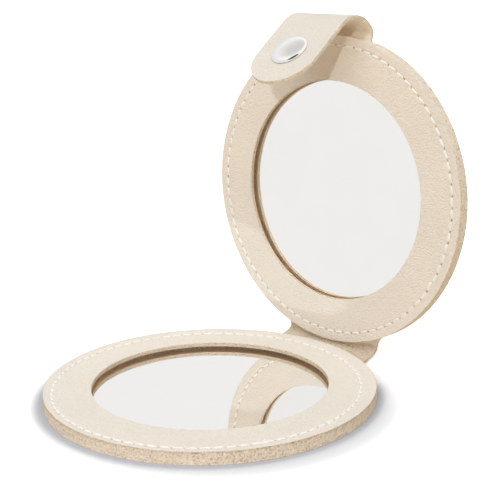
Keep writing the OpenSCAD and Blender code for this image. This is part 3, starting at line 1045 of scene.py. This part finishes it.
def stand(piece, body, slot_name, *nodes):
    """Lets a piece ride on its body and stand for its nodes, which are hidden; slot_name is not used."""
    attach(piece, body)
    # The lid's mirror, behind real glass, stays as plain as in the photo
    piece.visible_transmission = body != "base"
    if nodes:
        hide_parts(*nodes)


def span(piece, first, second, start, end, slot_name, *nodes):
    """Bakes a piece's place into its mesh and hides the nodes it stands for; first, second, start, end and
    slot_name are not used.
    """
    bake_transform(piece)
    if nodes:
        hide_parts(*nodes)


def build_discs(mats):
    """The plies, mirrors and seams of the base and of the lid."""
    for disc in DISCS:
        piece = cover(disc, [mats["cover"], mats[f"{disc.body}_edge"]])
        if disc.body == "base":
            sink_plate_pocket(piece)
        stand(piece, disc.body, "cover_leather", f"{disc.body}_cover")
    for disc in DISCS:
        body, place = disc.body, disc.place
        ring_mats = [mats[key] for key in ("ring", f"{body}_edge", "flesh", "mirror_lit_window_edge")]
        stand(front_ring(disc, ring_mats), body, "ring_leather", f"{body}_ring")
        stand(spacer_ring(disc, [mats[f"{body}_board"]]), body, "leather_board", f"{body}_spacer")
        sizes = (GLASS_R, GLASS_LOW, CORE_TOP - GLASS_CLEARANCE, GLASS_CORNER)
        glass = flat_disc(f"{body}_glass", *sizes, place, [mats[f"{body}_glass"]])
        stand(glass, body, "mirror", f"{body}_mirror")
        sizes = (GLASS_R - SILVER_INSET, GLASS_LOW + SILVER_T, GLASS_LOW + 2 * SILVER_T, SILVER_CORNER)
        silver = flat_disc(f"{body}_silvering", *sizes, place, [mats["silver"]])
        stand(silver, body, "mirror")
        thread, ends = mats["thread"], [loose_end(disc)]
        front = seam_thread(disc, f"{body}_stitches", DISC_TOP, 1, disc.seed + 10, thread, ends)
        stand(front, body, "thread", f"{body}_needle_thread")
        back = seam_thread(disc, f"{body}_back_stitches", 0.0, -1, disc.seed + 20, thread)
        stand(back, body, "thread", f"{body}_bobbin_thread")


def build_neck(mats):
    """The creased neck, in two pieces that meet in the middle of the spine."""
    materials = [mats["neck"], mats["base_edge"]]
    along_base, along_spine, along_lid = (
        Vector((0, cos(rise), sin(rise))) for rise in (0, SPINE_RISE, LID_RISE)
    )
    piece = base_neck(materials)
    start, end = BASE_CREASE - along_base * CREASE_REACH, BASE_CREASE + along_spine * CREASE_REACH
    span(piece, "base", "spine", start, end, "cover_leather", "spine")
    piece.visible_transmission = False
    start, end = LID_CREASE - along_spine * SPINE_LEN / 2, LID_CREASE + along_lid * LID_BEND
    span(lid_neck(materials), "spine", "lid", start, end, "cover_leather")


def build_strap(mats):
    """The strap, in three pieces: its root, its arch and its leg."""
    materials = [mats["cover"], mats["lid_edge"], mats["lining"]]
    stations = strap_stations()
    split = next(i for i, station in enumerate(stations) if station.along > STRAP_SPLIT)

    def strip(name, some):
        return strip_piece(name, some, LID_PLACE, materials, strap_wrinkle, 2)

    def in_lid(y, z):
        return LID_PLACE @ Vector((0, y, z))

    ends = (
        in_lid(STRAP_CUT_Y, COVER_MID),
        in_lid(*on_arc((ROOT_Y, COVER_MID), ROOT_REACH, pi / 2 - STRAP_LEAN)),
    )
    root = strip("strap_root", stations[:split + 1])
    span(root, "lid", "strap_bend", *ends, "cover_leather", "strap_bend")
    turns = (CURL_TURN - CURL_BEND, CURL_TURN + CURL_BEND)
    ends = [in_lid(*on_arc((ARCH_Y, ARCH_Z), ARCH_R, turn)) for turn in turns]
    arch = strip("strap_arch", stations[split:])
    span(arch, "strap_bend", "strap_tip", *ends, "cover_leather")
    stand(strap_leg(materials), "strap_tip", "cover_leather", "strap_tongue")


def build_fastener(mats):
    """The cap, its rivet, the magnet in its cup and the steel plate in the base."""
    inward = LEG_PLACE @ Matrix.Translation((0, 0, FLEX_T / 2))
    through = LEG_PLACE @ Matrix.Translation((0, 0, -FLEX_T / 2))
    outward = through @ Matrix.Rotation(pi, 4, "X")
    flange_low, head_low = FLANGE_PLAY - FLANGE_T, FLEX_T + CUP_WALL
    rivet = [
        (0, flange_low), (FLANGE_R, flange_low), (FLANGE_R, 0), (SHANK_R, 0),
        (SHANK_R, head_low), (HEAD_R, head_low), (HEAD_R, head_low + HEAD_T), (0, head_low + HEAD_T),
    ]
    hole, inner = SHANK_R + SHANK_PLAY, CUP_R - CUP_WALL
    cup = [(hole, 0), (CUP_R, 0), (CUP_R, CUP_H), (inner, CUP_H), (inner, CUP_WALL), (hole, CUP_WALL)]
    hole, outer, top = HEAD_R + MAGNET_PLAY, inner - MAGNET_PLAY, CUP_H - MAGNET_DROP
    magnet = [(hole, CUP_WALL), (outer, CUP_WALL), (outer, top), (hole, top)]
    brim_low = PLATE_HIGH.z - BRIM_T
    plate = [
        (0, PLATE_LOW.z), (PLATE_R, PLATE_LOW.z), (PLATE_R, brim_low),
        (BRIM_R, brim_low), (BRIM_R, PLATE_HIGH.z), (0, PLATE_HIGH.z),
    ]
    # Piece, profile, corner radius, place, material, steps round it, body, slot and node
    parts = (
        ("cap", cap_profile(), 0, outward, "chrome", 192, "strap_tip", "cap_chrome", "snap_cap"),
        ("rivet", rivet, 0.1, through, "steel", 64, "strap_tip", "nickelled_steel", "cap_rivet"),
        ("cup", cup, 0.14, inward, "steel", 128, "strap_tip", "nickelled_steel", "magnet_cup"),
        ("ring_magnet", magnet, 0.12, inward, "magnet", 128, "strap_tip", "magnet", "magnet"),
        ("plate", plate, 0.12, PLATE_PLACE, "steel", PLATE_STEPS, "base", "nickelled_steel", "keeper_plate"),
    )
    for name, corners, radius, place, material, steps, body, slot_name, node in parts:
        piece = lathe_piece(name, corners, radius, place, [mats[material]], steps)
        stand(piece, body, slot_name, node)


def paint_tapes(material):
    """The adhesive discs behind the glasses stay the frame's own."""
    for name in ("base_tape", "lid_tape"):
        node = frame["nodes"][name]
        node.data.materials.clear()
        node.data.materials.append(material)
        node.visible_transmission = False


def turned_to(made, quaternion):
    made.rotation_mode = "QUATERNION"
    made.rotation_quaternion = quaternion


def add_lamp(name, kind, power, color):
    """A lamp that polished faces don't show."""
    data = bpy.data.lights.new(name, kind)
    data.energy = power
    data.color = color
    lamp = add_object(name, data)
    lamp.visible_glossy = False
    return lamp


def add_sun(name, toward, angle, strength):
    """A far lamp that shines from a direction, with soft shadows."""
    lamp = add_lamp(name, "SUN", strength, SUN_COLOR)
    lamp.data.angle = angle
    turned_to(lamp, Vector(toward).to_track_quat("Z", "Y"))


def add_patch_light():
    """The key light that the base's mirror throws up on the lid's ring."""
    lamp = add_lamp("patch", "AREA", PATCH_POWER, PATCH_COLOR)
    lamp.data.shape = "ELLIPSE"
    lamp.data.size = 2 * WINDOW_R * MM
    lamp.data.size_y = lamp.data.size * PATCH_TOWARD[2]
    lamp.data.spread = radians(3)
    out = Vector(PATCH_TOWARD)
    across = Vector((-out.y, out.x, 0)).normalized()
    facing = Matrix((across, (-out).cross(across), -out)).transposed()
    lamp.matrix_world = Matrix.Translation(Vector(PATCH_AT) * MM) @ facing.to_4x4()
    lamp.visible_camera = False
    lamp.visible_transmission = False


def build_world():
    """A soft even sky, plain white where the camera sees it, with two cards for mirrors and metal."""
    world = bpy.data.worlds.new("sky")
    bpy.context.scene.world = world
    world.use_nodes = True
    sky = Shade(world.node_tree)
    toward = sky.node("ShaderNodeTexCoord").outputs["Generated"]
    height = sky.axis(toward, "Z")
    low, high = scaled(LOW_SKY_COLOR, SKY_STRENGTH), scaled(SKY_COLOR, SKY_STRENGTH)
    plain = sky.mix(sky.ramp(height, 0.0, 0.6), low, high)
    mirrored = sky.mix(sky.ramp(height, 0.45, 0.8), MIRRORED_SKY, MIRRORED_TOP)
    cards = ((GREY_CARD_FROM, 0.80, 0.995, GREY_CARD), (DARK_CARD_FROM, 0.88, 0.95, DARK_CARD))
    for card_from, start, end, color in cards:
        facing = Vector(card_from).normalized()
        nearness = sky.combine("DOT_PRODUCT", toward, facing, "ShaderNodeVectorMath")
        mirrored = sky.mix(sky.ramp(nearness, start, end), mirrored, color)
    tone = sky.mix(sky.seen("Glossy", "Transmission"), plain, mirrored)
    tone = sky.mix(sky.seen("Camera"), tone, WHITE)
    sky.connect(sky.tree.nodes["Background"], {"Color": tone, "Strength": 1.0})


def build_camera():
    data = bpy.data.cameras.new("camera")
    data.sensor_width = 36
    data.lens = LENS
    data.clip_start = 0.01
    camera = add_object("camera", data)
    camera.location = Vector(CAMERA_AT) * MM
    aim = (Vector(AIM_AT) - Vector(CAMERA_AT)).to_track_quat("-Z", "Y")
    turned_to(camera, aim @ Matrix.Rotation(CAMERA_ROLL, 4, "Z").to_quaternion())
    bpy.context.scene.camera = camera
    bpy.context.scene.view_settings.view_transform = "Standard"


def build_floor():
    corners = [Vector((x, y, 0)) * FLOOR_HALF * MM for x, y in ((-1, -1), (1, -1), (1, 1), (-1, 1))]
    mesh = bpy.data.meshes.new("floor")
    mesh.from_pydata(corners, [], [(0, 1, 2, 3)])
    mesh.materials.append(floor_material())
    floor = add_object("floor", mesh)
    floor.visible_glossy = False
    floor.visible_transmission = False


def build_materials():
    """Every material by a short name."""
    # The lid's edges are painted lighter than the base's
    lid_edge = cut_edge("lid_cut_edge_painted_lighter", scaled(EDGE_COLOR, LID_EDGE_LIGHT_SHARE))
    flesh_tones = (scaled(FLESH_COLOR, 1.2), scaled(FLESH_COLOR, 0.7))
    return {
        "ring": leather("ring_leather", RING_COLOR),
        "cover": leather("cover_leather", COVER_COLOR),
        "lining": leather("lining_leather", LINING_COLOR),
        # The neck's warmer tint is painted shade
        "neck": leather("neck_leather_warm_shade", NECK_WARM_SHADE_COLOR, 2.2, 0.36),
        "base_edge": cut_edge("cut_edge", EDGE_COLOR),
        "lid_edge": lid_edge,
        "mirror_lit_window_edge": cut_edge("mirror_lit_window_edge", WINDOW_EDGE_MIRROR_LIT_COLOR, WINDOW_EDGE_MIRROR_LIT_PALE),
        # The flesh side gets a painted glow
        "flesh": cut_edge("flesh_side", FLESH_COLOR, *flesh_tones, FLESH_PAINTED_GLOW),
        "base_board": cut_edge("board_edge", BOARD_COLOR),
        "lid_board": lid_edge,
        "thread": thread_material(),
        "base_glass": sheet_material(),
        "lid_glass": glass_material(),
        "silver": silver_material(),
        "tape": tape_material(),
        "chrome": metal("chrome", CHROME_COLOR, 0.06, 0.002),
        "steel": metal("nickelled_steel", STEEL_COLOR, 0.28, 0.01),
        "magnet": metal("magnet", MAGNET_COLOR, 0.45, 0.015),
    }


mats = build_materials()
build_discs(mats)
build_neck(mats)
build_strap(mats)
build_fastener(mats)
paint_tapes(mats["tape"])
build_floor()
for sun_name, values in SUNS.items():
    add_sun(sun_name, *values)
add_patch_light()
build_world()
build_camera()
